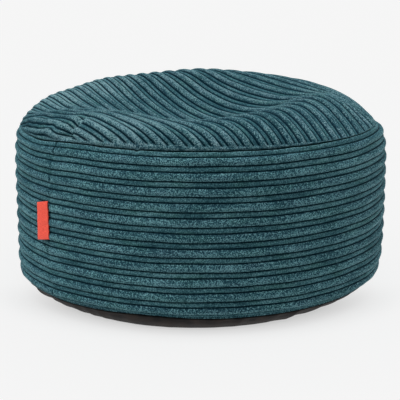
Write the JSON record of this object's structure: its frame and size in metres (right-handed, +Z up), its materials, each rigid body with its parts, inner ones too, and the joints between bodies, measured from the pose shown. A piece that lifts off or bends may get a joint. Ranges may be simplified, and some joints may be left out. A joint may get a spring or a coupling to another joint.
{
  "type": "bean bag footstool",
  "caption": "Low round bean bag footstool in ribbed cord, with a soft dimpled top, a full upright side, a plain dark base and a small folded tape in its side seam.",
  "frame": {"origin": "middle of the flat underside, on the floor", "axes": "+Z is up; -Y is the front, with the side's upright seam and its tape to the left of it at -X"},
  "size_m": [0.5501, 0.55, 0.2897],
  "materials": {
    "teal_cord": "brushed cord pile in wide and narrow ribs",
    "charcoal_cloth": "matte woven base cloth",
    "red_tape": "matte woven tape"
  },
  "bodies": {
    "root": {"top_panel": "teal_cord", "side_panel": "teal_cord", "base_panel": "charcoal_cloth", "seam_tab": "red_tape"}
  },
  "joints": []
}
